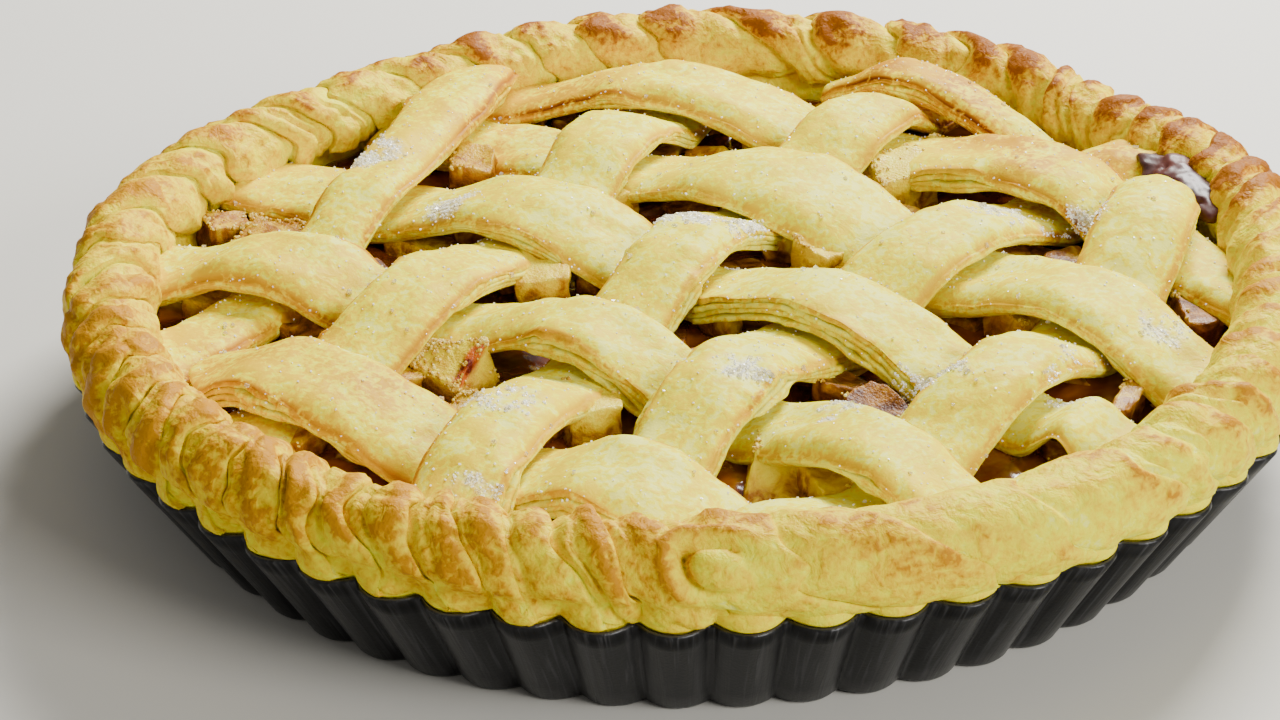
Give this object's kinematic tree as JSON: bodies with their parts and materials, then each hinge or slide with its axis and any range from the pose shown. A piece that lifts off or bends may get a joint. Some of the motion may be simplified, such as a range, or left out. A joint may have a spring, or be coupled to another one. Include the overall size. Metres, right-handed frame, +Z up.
{
  "type": "lattice apple pie in a fluted tart tin",
  "caption": "Round apple pie with a woven pastry lattice and a twisted pastry rim, in its own dark fluted tart tin.",
  "frame": {"origin": "middle of the bounding box's bottom, on the surface the tin stands on", "axes": "+Z up; -Y towards the side seen in front, +X to its right"},
  "size_m": [0.2852, 0.285, 0.0483],
  "materials": {
    "tin": "satin non-stick coating",
    "crust": "baked shortcrust, matte",
    "filling": "apple chunks in glossy brown syrup",
    "rope": "baked pastry, browned ridges",
    "strip": "baked flaky pastry, slightly glazed"
  },
  "bodies": {
    "root": {"tin": "tin", "pastry_case": "crust", "filling": "filling", "rope_rim": "rope", "strip_a1": "strip", "strip_a2": "strip", "strip_a3": "strip", "strip_a4": "strip", "strip_a5": "strip", "strip_a6": "strip", "strip_b1": "strip", "strip_b2": "strip", "strip_b3": "strip", "strip_b4": "strip", "strip_b5": "strip"}
  },
  "joints": []
}
